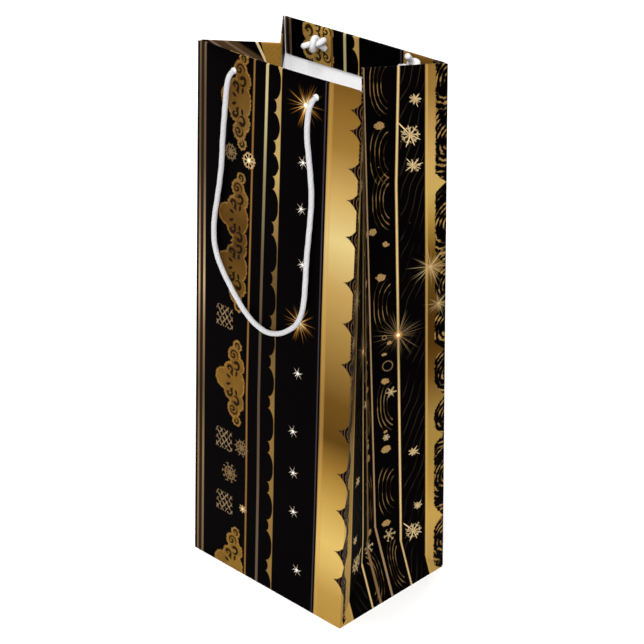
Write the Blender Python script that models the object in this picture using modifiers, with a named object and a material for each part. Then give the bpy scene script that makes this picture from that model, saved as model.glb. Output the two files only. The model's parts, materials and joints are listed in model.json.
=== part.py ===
"""Wine gift bag: a folded paper bag with side gussets, turned-in top, base card and two cord handles.

Metres, +Z up. The origin is the centre of the underside and the front panel faces -Y.
The paper is one folded blank, so each flat between two creases is an object of its own.
"""
import math

import bmesh
import bpy
from mathutils import Matrix, Vector
from mathutils.geometry import interpolate_bezier

# Driving dimensions
WIDTH = 0.130
DEPTH = 0.096
HEIGHT = 0.340
TOP_DEPTH = 0.069
PAPER = 0.0003
GAP = 0.0003
FRONT_BOW = 0.003
REAR_BOW = 0.0006

# Gussets
CREASE_INSET_TOP = 0.0325
CREASE_DROP_TOP = 0.0025
APEX_INSET = 0.0163
CORNER_TRIM = 0.0013
FOLD_TRIM = 0.0017
TRIANGLE_TRIM = 0.0014
APEX_ROW_SHARE = 0.2
GUSSET_ROWS = 15
GUSSET_FOOT = 0.004

# Turned-in top and its reinforcement cards
HEM_DEPTH = 0.0225
CARD_THICKNESS = 0.0006
CARD_HEIGHT = 0.021
PANEL_HEM_SETBACK = 0.006
GUSSET_HEM_SETBACK = 0.005

# Bottom
FLAP_REACH = 0.060
SIDE_FLAP_REACH = 0.040
BASE_CARD = 0.0012
BASE_CARD_CLEARANCE = 0.0015
SIDE_EASE = 0.0012

# Glue seam
SEAM_WIDTH = 0.015
SEAM_FOOT = 0.012

# Handles
HOLE_X = 0.0325
HOLE_BELOW_TOP = 0.0105
HOLE_RADIUS = 0.0022
CORD_DIAMETER = 0.0034
PIVOT_STANDOFF = 0.004
KNOT_RADII = (0.0058, 0.0040, 0.0042)

HALF_WIDTH = WIDTH / 2
HALF_DEPTH = DEPTH / 2
LEAN = (DEPTH - TOP_DEPTH) / 2
APEX_HEIGHT = math.sqrt(HALF_DEPTH**2 - APEX_INSET**2)
HOLE_Z = HEIGHT - HOLE_BELOW_TOP

# A handle's route from its left hole to its right one: distance to the right of the middle,
# height below the holes and distance out from the panel's face, all to the middle of the cord
HANDLE_ROUTE = (
    (-0.0325, 0.0020, 0.0042),
    (-0.0330, 0.0080, 0.0052),
    (-0.0352, 0.0200, 0.0044),
    (-0.0386, 0.0420, 0.0032),
    (-0.0400, 0.0560, 0.0026),
    (-0.0420, 0.0695, 0.0024),
    (-0.0446, 0.0830, 0.0023),
    (-0.0468, 0.0960, 0.0023),
    (-0.0460, 0.1110, 0.0023),
    (-0.0390, 0.1245, 0.0023),
    (-0.0242, 0.1405, 0.0023),
    (-0.0133, 0.1485, 0.0023),
    (-0.0025, 0.1518, 0.0023),
    (0.0071, 0.1505, 0.0023),
    (0.0165, 0.1455, 0.0023),
    (0.0245, 0.1378, 0.0023),
    (0.0287, 0.1270, 0.0023),
    (0.0300, 0.1125, 0.0023),
    (0.0306, 0.0955, 0.0023),
    (0.0320, 0.0785, 0.0023),
    (0.0332, 0.0600, 0.0024),
    (0.0325, 0.0465, 0.0028),
    (0.0310, 0.0310, 0.0036),
    (0.0306, 0.0200, 0.0046),
    (0.0318, 0.0080, 0.0052),
    (0.0325, 0.0020, 0.0042),
)


def clear_scene():
    for old in list(bpy.data.objects):
        bpy.data.objects.remove(old, do_unlink=True)


def new_collection(name):
    collection = bpy.data.collections.new(name)
    bpy.context.scene.collection.children.link(collection)
    return collection


def principled(name, colour, roughness, metallic=0.0):
    material = bpy.data.materials.new(name)
    material.use_nodes = True
    shader = material.node_tree.nodes["Principled BSDF"]
    shader.inputs["Base Color"].default_value = (*colour, 1.0)
    shader.inputs["Roughness"].default_value = roughness
    shader.inputs["Metallic"].default_value = metallic
    return material


def add_object(name, mesh, material, collection):
    new = bpy.data.objects.new(name, mesh)
    mesh.materials.append(material)
    collection.objects.link(new)
    return new


# Shape of the folded paper: every function gives a point on the outer face


def bow_share(x, z):
    return (1 - (x / HALF_WIDTH) ** 2) * (z / HEIGHT) ** 1.5


def front_y(x, z):
    return -HALF_DEPTH + LEAN * z / HEIGHT - FRONT_BOW * bow_share(x, z)


def rear_y(x, z):
    return HALF_DEPTH - LEAN * z / HEIGHT + REAR_BOW * bow_share(x, z)


def gusset_point(side, end, across, height):
    """A point of a gusset half; side and end are -1 or 1, across runs from the corner edge to the crease."""
    corner = Vector((side * HALF_WIDTH, end * (HALF_DEPTH - LEAN * height / HEIGHT), height))
    if height < HALF_DEPTH:
        apex_share = height / HALF_DEPTH
        inner = Vector((
            side * (HALF_WIDTH - APEX_INSET * apex_share),
            end * HALF_DEPTH * (1 - apex_share),
            APEX_HEIGHT * apex_share,
        ))
        span = height
    else:
        share = (height - HALF_DEPTH) / (HEIGHT - HALF_DEPTH)
        inset = APEX_INSET + (CREASE_INSET_TOP - APEX_INSET) * share
        crease_top = HEIGHT - CREASE_DROP_TOP
        inner = Vector((side * (HALF_WIDTH - inset), 0.0, APEX_HEIGHT + (crease_top - APEX_HEIGHT) * share))
        span = HALF_DEPTH
    return corner.lerp(inner, across / span)


def sheet(name, point, columns, rows, thickness, material, collection, depth=0.0):
    """A thick sheet: point(u, v) is its outer face for u, v from 0 to 1, and depth sets it further inside."""
    grid = bmesh.new()
    bmesh.ops.create_grid(grid, x_segments=columns, y_segments=rows, size=0.5)
    step = 0.001
    for vertex in grid.verts:
        u = vertex.co.x + 0.5
        v = vertex.co.y + 0.5
        here = point(u, v)
        if depth:
            along_u = point(u + step, v) - point(u - step, v)
            along_v = point(u, v + step) - point(u, v - step)
            here = here - along_u.cross(along_v).normalized() * depth
        vertex.co = here
    mesh = bpy.data.meshes.new(name)
    grid.to_mesh(mesh)
    grid.free()
    new = add_object(name, mesh, material, collection)
    solidify = new.modifiers.new("thickness", "SOLIDIFY")
    solidify.thickness = thickness
    solidify.offset = -1.0
    return new


def box(name, low, high, material, collection):
    """A box with the given low and high corners; also used for flat flaps and cards."""
    middle = (Vector(low) + Vector(high)) / 2
    size = Vector(high) - Vector(low)
    shape = bmesh.new()
    bmesh.ops.create_cube(shape, size=1.0)
    bmesh.ops.scale(shape, vec=size, verts=shape.verts)
    mesh = bpy.data.meshes.new(name)
    shape.to_mesh(mesh)
    shape.free()
    new = add_object(name, mesh, material, collection)
    new.location = middle
    return new


# Panels


def panel_point(end, setback, foot, top):
    """The front (end -1) or rear (end 1) panel's outer face between two heights."""
    half = HALF_WIDTH - setback
    surface = front_y if end < 0 else rear_y

    def point(u, v):
        x = -end * half * (2 * u - 1)
        z = foot + (top - foot) * v
        return Vector((x, surface(x, z), z))

    return point


def make_panels(material, collection):
    """Front and rear panels, each from the bottom fold to the top fold."""
    return [
        sheet(name, panel_point(end, 0.0, GAP, HEIGHT), 12, 12, PAPER, material, collection)
        for name, end in (("front_panel", -1), ("rear_panel", 1))
    ]


def make_hem_stack(paper, card, collection):
    """The turned-in edge of each panel, with its reinforcement card between panel and turn-in."""
    pieces = []
    card_depth = PAPER + GAP
    hem_depth = card_depth + CARD_THICKNESS + GAP
    for name, end in (("front", -1), ("rear", 1)):
        top = HEIGHT - GAP
        card_point = panel_point(end, PANEL_HEM_SETBACK, top - CARD_HEIGHT, top)
        hem_point = panel_point(end, PANEL_HEM_SETBACK, top - HEM_DEPTH, top)
        pieces.append(sheet(
            name + "_reinforcement_card", card_point, 12, 2, CARD_THICKNESS, card, collection, card_depth,
        ))
        pieces.append(sheet(name + "_turn_in", hem_point, 12, 2, PAPER, paper, collection, hem_depth))
    return pieces


# Gussets


def row_height(foot, top, v):
    """Height at share v of a sheet's rows, with one row at the apex when the sheet starts below it."""
    if foot >= HALF_DEPTH:
        return foot + (top - foot) * v
    if v < APEX_ROW_SHARE:
        return foot + (HALF_DEPTH - foot) * v / APEX_ROW_SHARE
    return HALF_DEPTH + (top - HALF_DEPTH) * (v - APEX_ROW_SHARE) / (1 - APEX_ROW_SHARE)


def gusset_half_point(side, end, start, foot, top):
    """A gusset half between the corner edge and the centre crease, clear of the neighbours it folds against."""
    orientation = side * end

    def point(u, v):
        share = u if orientation < 0 else 1 - u
        height = row_height(foot, top, v)
        reach = min(HALF_DEPTH, height) - FOLD_TRIM
        across = start + (reach - start) * share
        return gusset_point(side, end, across, height)

    return point


def make_gussets(material, collection):
    """Both gussets: two halves each, and the triangle that the halves leave at the bottom fold."""
    pieces = []
    for side_name, side in (("left", -1), ("right", 1)):
        for end_name, end in (("front", -1), ("rear", 1)):
            point = gusset_half_point(side, end, CORNER_TRIM, GUSSET_FOOT, HEIGHT)
            name = f"{side_name}_gusset_{end_name}_half"
            pieces.append(sheet(name, point, 6, GUSSET_ROWS, PAPER, material, collection))
            hem = gusset_half_point(side, end, GUSSET_HEM_SETBACK, HEIGHT - HEM_DEPTH, HEIGHT - GAP)
            name = f"{side_name}_gusset_{end_name}_turn_in"
            pieces.append(sheet(name, hem, 4, 2, PAPER, material, collection, PAPER + GAP))
        pieces.append(make_triangle(side_name, side, material, collection))
    return pieces


def make_triangle(side_name, side, material, collection):
    """The bottom triangle of a gusset: it leans inwards from the bottom fold up to the apex of the creases."""
    half = HALF_DEPTH - TRIANGLE_TRIM
    top = half - GAP

    def point(u, v):
        height = GAP + (top - GAP) * v
        share = height / HALF_DEPTH
        y = side * (half - height) * (2 * u - 1)
        return Vector((side * (HALF_WIDTH - APEX_INSET * share), y, APEX_HEIGHT * share))

    return sheet(f"{side_name}_gusset_triangle", point, 4, 4, PAPER, material, collection)


# Bottom


def make_bottom(paper, card, collection):
    """Four flaps folded over each other, outermost first, and the loose card that lies on them."""
    inside = PAPER + GAP
    x_half = HALF_WIDTH - inside - SIDE_EASE
    y_wall = HALF_DEPTH - inside
    layer = PAPER + GAP
    pieces = [
        box("rear_bottom_flap", (-x_half, y_wall - FLAP_REACH, 0.0), (x_half, y_wall, PAPER), paper, collection),
        box(
            "front_bottom_flap", (-x_half, -y_wall, layer), (x_half, FLAP_REACH - y_wall, layer + PAPER),
            paper, collection,
        ),
    ]
    side_z = 2 * layer
    side_y = y_wall - 2 * GAP
    for name, side in (("left", -1), ("right", 1)):
        ends = sorted((side * (x_half - GAP), side * (x_half - SIDE_FLAP_REACH)))
        low = (ends[0], -side_y, side_z)
        high = (ends[1], side_y, side_z + PAPER)
        pieces.append(box(name + "_bottom_flap", low, high, paper, collection))
    base_z = 3 * layer
    base_x = x_half - BASE_CARD_CLEARANCE
    base_y = y_wall - BASE_CARD_CLEARANCE
    pieces.append(box("base_card", (-base_x, -base_y, base_z), (base_x, base_y, base_z + BASE_CARD), card, collection))
    return pieces


def make_glue_seam(material, collection):
    """The strip that joins the blank's two edges, glued inside the rear panel at its left corner."""
    foot = SEAM_FOOT
    top = HEIGHT - HEM_DEPTH - 2 * GAP
    left = -HALF_WIDTH + PANEL_HEM_SETBACK

    def point(u, v):
        x = left + SEAM_WIDTH * (1 - u)
        z = foot + (top - foot) * v
        return Vector((x, rear_y(x, z), z))

    return sheet("glue_seam_flap", point, 2, 12, PAPER, material, collection, PAPER + GAP)


# Handles


def face_y(end, x, z):
    return front_y(x, z) if end < 0 else rear_y(x, z)


def cylinder_between(name, low, high, radius, collection, sides=16):
    """A cylinder whose axis runs from low to high; used as the hole cutter and the cord's neck."""
    run = high - low
    shape = bmesh.new()
    bmesh.ops.create_cone(
        shape, cap_ends=True, segments=sides, radius1=radius, radius2=radius, depth=run.length,
    )
    turn = run.to_track_quat("Z", "Y").to_matrix().to_4x4()
    bmesh.ops.transform(shape, matrix=Matrix.Translation((low + high) / 2) @ turn, verts=shape.verts)
    mesh = bpy.data.meshes.new(name)
    shape.to_mesh(mesh)
    shape.free()
    new = bpy.data.objects.new(name, mesh)
    collection.objects.link(new)
    return new


def as_helper(new):
    new.hide_render = True
    new.display_type = "WIRE"
    return new


def add_boolean(target, other, operation):
    modifier = target.modifiers.new(operation.lower(), "BOOLEAN")
    modifier.operation = operation
    modifier.object = other
    modifier.solver = "EXACT"


def cut_handle_holes(pieces, cutters):
    """Two round holes through the panel, its card and its turn-in."""
    for end_name, end in (("front", -1), ("rear", 1)):
        for x in (-HOLE_X, HOLE_X):
            y = face_y(end, x, HOLE_Z)
            low = Vector((x, y - 0.006, HOLE_Z))
            high = Vector((x, y + 0.006, HOLE_Z))
            cutter = as_helper(cylinder_between("handle_hole", low, high, HOLE_RADIUS, cutters))
            for part in ("panel", "reinforcement_card", "turn_in"):
                add_boolean(pieces[f"{end_name}_{part}"], cutter, "DIFFERENCE")


def make_knot(name, end, x, material, collection, cutters):
    """The knot inside the turn-in, with the neck of cord that runs out through the hole."""
    stack = 2 * PAPER + CARD_THICKNESS + 2 * GAP
    outer = face_y(end, x, HOLE_Z)
    knot_y = outer - end * (stack + 2 * GAP + KNOT_RADII[1])
    ball = bmesh.new()
    bmesh.ops.create_uvsphere(ball, u_segments=14, v_segments=8, radius=1.0)
    bmesh.ops.scale(ball, vec=KNOT_RADII, verts=ball.verts)
    bmesh.ops.translate(ball, vec=(x, knot_y, HOLE_Z), verts=ball.verts)
    mesh = bpy.data.meshes.new(name)
    ball.to_mesh(mesh)
    ball.free()
    knot = add_object(name, mesh, material, collection)
    low = Vector((x, knot_y, HOLE_Z))
    high = Vector((x, outer + end * (PIVOT_STANDOFF - GAP), HOLE_Z))
    neck = as_helper(cylinder_between(name + "_neck", low, high, CORD_DIAMETER / 2, cutters, sides=12))
    add_boolean(knot, neck, "UNION")
    return knot


def smooth_route(route, spacing):
    """Points along a smooth curve through the route, about spacing apart."""
    dense = []
    for index in range(len(route) - 1):
        before = route[max(index - 1, 0)]
        start = route[index]
        stop = route[index + 1]
        after = route[min(index + 2, len(route) - 1)]
        first = start + (stop - before) / 6
        second = stop - (after - start) / 6
        dense.extend(interpolate_bezier(start, first, second, stop, 12)[:-1])
    dense.append(route[-1])
    points = [dense[0]]
    travelled = 0.0
    for here, there in zip(dense, dense[1:]):
        travelled += (there - here).length
        if travelled >= spacing:
            points.append(there)
            travelled = 0.0
    points[-1] = dense[-1]
    return points


def handle_route(end):
    """The whole loop from one hole to the other, lying against the outer face of its panel."""
    route = []
    for right, down, out in HANDLE_ROUTE:
        x = -end * right
        z = HOLE_Z - down
        route.append(Vector((x, face_y(end, x, z) + end * out, z)))
    return route


def make_handle(name, end, material, collection):
    """A cord loop that hangs from both pivots, with its joint axis through them."""
    pivot = Vector((0.0, face_y(end, HOLE_X, HOLE_Z) + end * PIVOT_STANDOFF, HOLE_Z))
    points = smooth_route(handle_route(end), 2 * CORD_DIAMETER)
    curve = bpy.data.curves.new(name, "CURVE")
    curve.dimensions = "3D"
    curve.bevel_depth = CORD_DIAMETER / 2
    curve.bevel_resolution = 2
    curve.use_fill_caps = True
    spline = curve.splines.new("POLY")
    spline.points.add(len(points) - 1)
    for target, place in zip(spline.points, points):
        target.co = (*(place - pivot), 1.0)
    new = add_object(name, curve, material, collection)
    new.location = pivot
    return new


def main():
    clear_scene()
    bag = new_collection("wine_gift_bag")
    cutters = new_collection("cutters")
    paper = principled("printed_paper", (0.05, 0.04, 0.03), 0.35)
    lining = principled("white_paper", (0.86, 0.86, 0.85), 0.7)
    card = principled("card", (0.80, 0.79, 0.76), 0.8)
    cord = principled("cord", (0.90, 0.90, 0.90), 0.8)
    pieces = make_panels(paper, bag) + make_hem_stack(paper, card, bag)
    make_gussets(paper, bag)
    make_bottom(paper, card, bag)
    make_glue_seam(lining, bag)
    cut_handle_holes({piece.name: piece for piece in pieces}, cutters)
    for end_name, end in (("front", -1), ("rear", 1)):
        for side_name, side in (("left", -1), ("right", 1)):
            make_knot(f"{end_name}_{side_name}_knot", end, side * HOLE_X, cord, bag, cutters)
        make_handle(end_name + "_handle_cord", end, cord, bag)


main()
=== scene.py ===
"""Looks of the wine gift bag: folded printed paper, laid cord handles and soft studio light.

Lengths are in metres, and the print's are in millimetres on the flat blank. +Z is up, the front faces -Y.
"""
import json
import math

import bpy
import numpy as np
from mathutils import Matrix, Vector


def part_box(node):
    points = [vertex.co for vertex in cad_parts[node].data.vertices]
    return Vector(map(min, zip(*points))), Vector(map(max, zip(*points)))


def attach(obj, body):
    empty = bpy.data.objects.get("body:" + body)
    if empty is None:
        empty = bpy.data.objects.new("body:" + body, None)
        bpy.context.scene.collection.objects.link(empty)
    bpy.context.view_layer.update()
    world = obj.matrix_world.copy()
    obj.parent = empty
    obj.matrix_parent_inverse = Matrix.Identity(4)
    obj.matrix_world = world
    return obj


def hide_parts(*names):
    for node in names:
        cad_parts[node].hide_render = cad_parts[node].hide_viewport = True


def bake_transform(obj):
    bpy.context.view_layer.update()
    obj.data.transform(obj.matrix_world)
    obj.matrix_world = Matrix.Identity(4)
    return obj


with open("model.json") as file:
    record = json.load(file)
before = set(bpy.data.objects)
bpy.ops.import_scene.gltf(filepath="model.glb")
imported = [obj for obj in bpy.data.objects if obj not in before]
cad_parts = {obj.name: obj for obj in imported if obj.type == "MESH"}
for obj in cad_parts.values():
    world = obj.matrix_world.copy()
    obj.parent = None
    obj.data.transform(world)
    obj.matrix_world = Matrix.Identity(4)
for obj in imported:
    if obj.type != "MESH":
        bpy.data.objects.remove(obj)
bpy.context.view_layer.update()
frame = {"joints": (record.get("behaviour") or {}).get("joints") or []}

JOINTS = {joint["name"]: joint for joint in frame["joints"]}

# The bag's size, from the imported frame
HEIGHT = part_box("front_panel")[1].z
HALF_WIDTH = JOINTS["right_front_crease"]["pos_m"][0]
HALF_DEPTH = -JOINTS["mouth_front"]["pos_m"][1]
CORNER_AXIS = JOINTS["right_front_crease"]["axis"]
LEAN = HEIGHT * CORNER_AXIS[1] / CORNER_AXIS[2]
WIDTH = 2 * HALF_WIDTH
DEPTH = 2 * HALF_DEPTH
FRONT_BOW = 0.003
REAR_BOW = 0.0006

# The gussets' creases: how far in from the side they run at the top and where their folds meet, the apex
CREASE_INSET_TOP = 0.0325
CREASE_DROP_TOP = 0.0025
APEX_INSET = 0.0163
APEX_HEIGHT = math.sqrt(HALF_DEPTH**2 - APEX_INSET**2)

# The paper, its turned-in hem over the top fold, and the laps hidden behind the gussets' creases
PAPER = 0.0003
PAPER_FOOT = 0.00012
HEM_DEPTH = 0.0225
HEM_SETBACK = 0.0024
HEM_STEP_RATE = 3
PANEL_FOLD_RADIUS = 0.00075
GUSSET_FOLD_RADIUS = 0.0003
TOP_BANDS = 6
LAP_WIDTH = 0.0018
LAP_DEPTH = 0.00036
LEAST_LAP = 0.0001
SHARP_ANGLE = math.radians(40)

# The flaps folded in under the bag
BOTTOM_FLAP_REACH = 0.060
SIDE_FLAP_REACH = 0.040
FLAP_INSET = 0.0022
FLAP_START = (0, 0.0006)

# The rear print sits this much further across than the front one, but for its strip by the corner
REAR_PRINT_SHIFT = 0.0085
CORNER_STRIP = 0.009

# Handles
HOLE_X = 0.0325
HOLE_Z = JOINTS["front_handle_swing"]["pos_m"][2]
HOLE_RADIUS = 0.0021
CORD_RADIUS = 0.0016
KNOT_CORD_RADIUS = 0.0018

MM = 1000.0
ENDS = (("front", -1), ("rear", 1))
SIDES = (("left", -1), ("right", 1))


# Shape of the folded paper. Every function takes and gives numpy arrays of metres


def smooth(value):
    value = np.clip(value, 0, 1)
    return value * value * (3 - 2 * value)


def bow_share(x, z):
    return (1 - (x / HALF_WIDTH) ** 2) * np.clip(z / HEIGHT, 0, 1) ** 1.5


def panel_y(end, x, z):
    """Where the front (end -1) or rear (end 1) panel stands."""
    bow = FRONT_BOW if end < 0 else REAR_BOW
    return end * (HALF_DEPTH - LEAN * z / HEIGHT + bow * bow_share(x, z))


def half_surface(side, end, across, height):
    """A gusset half. across is the distance over the paper from the corner edge."""
    across, height = np.broadcast_arrays(across, height)
    low = height < HALF_DEPTH
    share = np.clip((height - HALF_DEPTH) / (HEIGHT - HALF_DEPTH), 0, 1)
    apex_share = np.clip(height / HALF_DEPTH, 0, 1)
    inset = APEX_INSET + (CREASE_INSET_TOP - APEX_INSET) * share
    crease_z = APEX_HEIGHT + (HEIGHT - CREASE_DROP_TOP - APEX_HEIGHT) * share
    corner = np.stack([
        np.full_like(height, side * HALF_WIDTH), end * (HALF_DEPTH - LEAN * height / HEIGHT), height,
    ], -1)
    crease = np.stack([side * (HALF_WIDTH - inset), 0 * height, crease_z], -1)
    diagonal = np.stack([
        side * (HALF_WIDTH - APEX_INSET * apex_share),
        end * HALF_DEPTH * (1 - apex_share),
        APEX_HEIGHT * apex_share,
    ], -1)
    inner = np.where(low[..., None], diagonal, crease)
    span = np.where(low, np.maximum(height, 1e-5), HALF_DEPTH)
    return corner + (inner - corner) * (across / span)[..., None]


def triangle_surface(side, along, height):
    """The bottom triangle: along runs from the front corner to the rear one."""
    share = height / HALF_DEPTH
    return np.stack([side * (HALF_WIDTH - APEX_INSET * share), along - HALF_DEPTH, APEX_HEIGHT * share], -1)


def gusset_surface(side, along, height):
    """The whole gusset, from the front corner edge (along 0) to the rear one (along DEPTH)."""
    along, height = np.broadcast_arrays(along, height)
    front = along <= HALF_DEPTH
    across = np.where(front, along, DEPTH - along)
    halves = np.where(
        front[..., None], half_surface(side, -1, across, height), half_surface(side, 1, across, height),
    )
    return np.where((height < across)[..., None], triangle_surface(side, along, height), halves)


# Mesh building


def grid_normals(points):
    along_u = np.gradient(points, axis=1)
    along_v = np.gradient(points, axis=0)
    return unit(np.cross(along_u, along_v))


def unit(vectors):
    return vectors / np.maximum(np.linalg.norm(vectors, axis=-1, keepdims=True), 1e-12)


def add_to_scene(name, data):
    new = bpy.data.objects.new(name, data)
    bpy.context.scene.collection.objects.link(new)
    return new


def ring_faces(rows, count):
    """The faces between neighbouring rings of count points."""
    faces = []
    for row in range(rows - 1):
        low, high = row * count, (row + 1) * count
        for k in range(count):
            after = (k + 1) % count
            faces.append((low + k, low + after, high + after, high + k))
    return faces


def paper_sheet(name, points, prints, materials, thickness=PAPER, edge_slot=0):
    """A closed sheet around a grid of middle points, with rounded side edges.

    points is rows x columns x 3, with columns running to the right seen from outside, and prints
    is rows x columns x 2, the place on the printed blank. The material slots are 0 for the outer
    face, 1 for the inner face and 2 for the cut edge.
    """
    rows, columns = points.shape[:2]
    half = thickness / 2
    normal = grid_normals(points)
    tangent = unit(np.gradient(points, axis=1))
    rim = [math.radians(angle) for angle in (60, 0, -60)]

    def rim_points(column, sign):
        outward = sign * tangent[:, column]
        return [
            points[:, column] + half * (math.sin(angle) * normal[:, column] + math.cos(angle) * outward)
            for angle in rim
        ]

    outer = [points[:, c] + half * normal[:, c] for c in range(columns)]
    inner = [points[:, c] - half * normal[:, c] for c in reversed(range(columns))]
    right = rim_points(columns - 1, 1)
    left = rim_points(0, -1)[::-1]
    ring = np.stack(outer + right + inner + left, 1)
    ring_print = np.stack(
        [prints[:, c] for c in range(columns)] + [prints[:, -1]] * 3
        + [prints[:, c] for c in reversed(range(columns))] + [prints[:, 0]] * 3, 1,
    )
    count = ring.shape[1]
    slots = [0] * (columns - 1) + [edge_slot] * 4 + [1] * (columns - 1) + [edge_slot] * 4
    faces = ring_faces(rows, count)
    face_slots = slots * (rows - 1)
    for row, flip in ((0, True), (rows - 1, False)):
        base = row * count
        across = base + 2 * columns + 2
        caps = [(base + c, base + c + 1, across - c - 1, across - c) for c in range(columns - 1)]
        caps.append(tuple(base + columns - 1 + k for k in range(5)))
        caps.append((base,) + tuple(across + k for k in range(4)))
        for cap in caps:
            faces.append(cap[::-1] if flip else cap)
            face_slots.append(2)
    mesh = bpy.data.meshes.new(name)
    mesh.from_pydata(ring.reshape(-1, 3).tolist(), [], faces)
    mesh.polygons.foreach_set("material_index", face_slots)
    flat_print = ring_print.reshape(-1, 2)
    layer = mesh.uv_layers.new(name="print")
    corners = np.zeros(len(mesh.loops), int)
    mesh.loops.foreach_get("vertex_index", corners)
    layer.data.foreach_set("uv", flat_print[corners].ravel())
    mesh.shade_smooth()
    mesh.set_sharp_from_angle(angle=SHARP_ANGLE)
    for material in materials:
        mesh.materials.append(material)
    return add_to_scene(name, mesh)


def fold_rows(radius, foot=PAPER_FOOT, bands=34):
    """Rows of a sheet that folds over the top, each (height, share of the fold, distance down the hem)."""
    top = HEIGHT - radius
    shares = [k / TOP_BANDS for k in range(1, TOP_BANDS + 1)]
    rows = [(foot + (top - foot) * (k / bands), 0.0, 0.0) for k in range(bands + 1)]
    rows += [(top, share, 0.0) for share in shares]
    rows += [(top, 1.0, HEM_DEPTH * share) for share in shares]
    return np.array(rows)


def folded_height(rows, radius):
    """For each row: height of its point, its distance inside the outer face, and its place up the blank."""
    base, fold, down = rows[:, 0:1], rows[:, 1:2], rows[:, 2:3]
    angle = math.pi * fold
    height = base + radius * np.sin(angle) - down
    inside = radius * (1 - np.cos(angle))
    return height, inside, base + math.pi * radius * fold + down


def make_panel(name, end, materials):
    """Front or rear panel with its turned-in top as one folded sheet."""
    columns = 41
    rows = fold_rows(PANEL_FOLD_RADIUS)
    height, inside, print_v = folded_height(rows, PANEL_FOLD_RADIUS)
    turned = smooth(rows[:, 1:2] * HEM_STEP_RATE)
    reach = HALF_WIDTH - HEM_SETBACK * turned
    x = -end * reach * np.linspace(-1, 1, columns)[None, :]
    height = np.broadcast_to(height, x.shape)
    corner_share = smooth((HALF_WIDTH - np.abs(x) - 0.003) / 0.006)
    depth = inside * (0.42 + 0.58 * corner_share)
    y = panel_y(end, x, height) - end * depth
    points = np.stack([x, y, height], -1)
    across = x + HALF_WIDTH
    if end > 0:
        across = across + REAR_PRINT_SHIFT * smooth((across - CORNER_STRIP) / 0.01)
    prints = np.stack([across, np.broadcast_to(print_v, x.shape)], -1)
    return paper_sheet(name, points, prints, materials)


def cut_holes(panel, end, rim_material):
    """The two cord holes, through the panel and its turned-in top."""
    for x in (-HOLE_X, HOLE_X):
        place = (x, float(panel_y(end, x, HOLE_Z)), HOLE_Z)
        bpy.ops.mesh.primitive_cylinder_add(
            vertices=48, radius=HOLE_RADIUS, depth=0.01, location=place, rotation=(math.pi / 2, 0, 0),
        )
        punch = bpy.context.object
        punch.data.materials.append(rim_material)
        cut = panel.modifiers.new("hole", "BOOLEAN")
        cut.solver = "EXACT"
        cut.material_mode = "TRANSFER"
        cut.object = punch
        bpy.context.view_layer.objects.active = panel
        bpy.ops.object.modifier_apply(modifier=cut.name)
        bpy.data.objects.remove(punch)
    panel.data.set_sharp_from_angle(angle=SHARP_ANGLE)


def make_gusset_half(name, side, end, materials):
    """A gusset half with its turned-in top, and a lap behind the creases it shares with its neighbours."""
    columns = 17
    radius = GUSSET_FOLD_RADIUS
    rows = fold_rows(radius, foot=0.0012, bands=56)
    height, inside, print_v = folded_height(rows, radius)
    lap_steps = np.array([0.15, 0.5, 1.0])
    reach = np.minimum(height, HALF_DEPTH)
    if end < 0:
        lap = LAP_WIDTH * np.ones_like(height)
    else:  # only the front half laps behind the centre crease, both lap behind the diagonals
        lap = LEAST_LAP + LAP_WIDTH * (1 - smooth((height - HALF_DEPTH * 0.85) / 0.006))
    lap = np.minimum(lap, 0.4 * height)
    body = reach * np.linspace(0, 1, columns)[None, :]
    across = np.concatenate([body, reach + lap * lap_steps[None, :]], 1)
    turned = smooth(rows[:, 1:2] * HEM_STEP_RATE)
    hem_across = np.linspace(HEM_SETBACK, HALF_DEPTH + 0.0005, columns + 3)[None, :]
    across = across * (1 - turned) + hem_across * turned
    height = np.broadcast_to(height, across.shape)
    along = across if end < 0 else DEPTH - across
    outer = gusset_surface(side, along, height)
    hem = half_surface(side, end, across, height)
    points = outer * (1 - turned)[..., None] + hem * turned[..., None]
    order = slice(None) if side * end < 0 else slice(None, None, -1)
    points = points[:, order]
    lap_share = np.concatenate([np.zeros_like(body), np.clip(lap * lap_steps / PAPER, 0, 1)], 1)
    lap_share = lap_share * (1 - turned)
    sink = (LAP_DEPTH * lap_share + np.broadcast_to(inside, across.shape))[:, order]
    outward = grid_normals(points)
    outward[outward[..., 0] * side < 0] *= -1
    points = points - outward * sink[..., None]
    prints = np.stack([WIDTH + along, np.broadcast_to(print_v, along.shape)], -1)[:, order]
    return paper_sheet(name, points, prints, materials)


def make_triangle(name, side, materials):
    columns = 17
    height = np.linspace(PAPER_FOOT, HALF_DEPTH - PAPER, 18)[:, None]
    along = HALF_DEPTH + (HALF_DEPTH - height) * np.linspace(-1, 1, columns)[None, :]
    height = np.broadcast_to(height, along.shape)
    order = slice(None) if side > 0 else slice(None, None, -1)
    points = triangle_surface(side, along, height)[:, order]
    prints = np.stack([WIDTH + along, height], -1)[:, order]
    return paper_sheet(name, points, prints, materials)


def make_bottom_flap(name, end, level, reach, materials):
    """A front or rear bottom flap: a trapezoid folded in under the bag, printed side down."""
    columns = 21
    corner_radius = 0.003
    taper = 0.09
    rows = np.linspace(0.003, reach - 0.002, 12)
    run = np.concatenate([FLAP_START, rows, [reach - 0.0008, reach]])[:, None]
    half = HALF_WIDTH - FLAP_INSET - taper * run
    corner = np.clip((run - (reach - corner_radius)) / corner_radius, 0, 1)
    half = half - corner_radius * (1 - np.sqrt(1 - corner**2))
    x = end * half * np.linspace(-1, 1, columns)[None, :]
    y = np.broadcast_to(end * (HALF_DEPTH - 0.0006 - run), x.shape)
    points = np.stack([x, y, np.full_like(x, level)], -1)
    prints = np.stack([x + HALF_WIDTH, np.broadcast_to(-run, x.shape)], -1)
    return paper_sheet(name, points, prints, materials, edge_slot=2)


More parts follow.
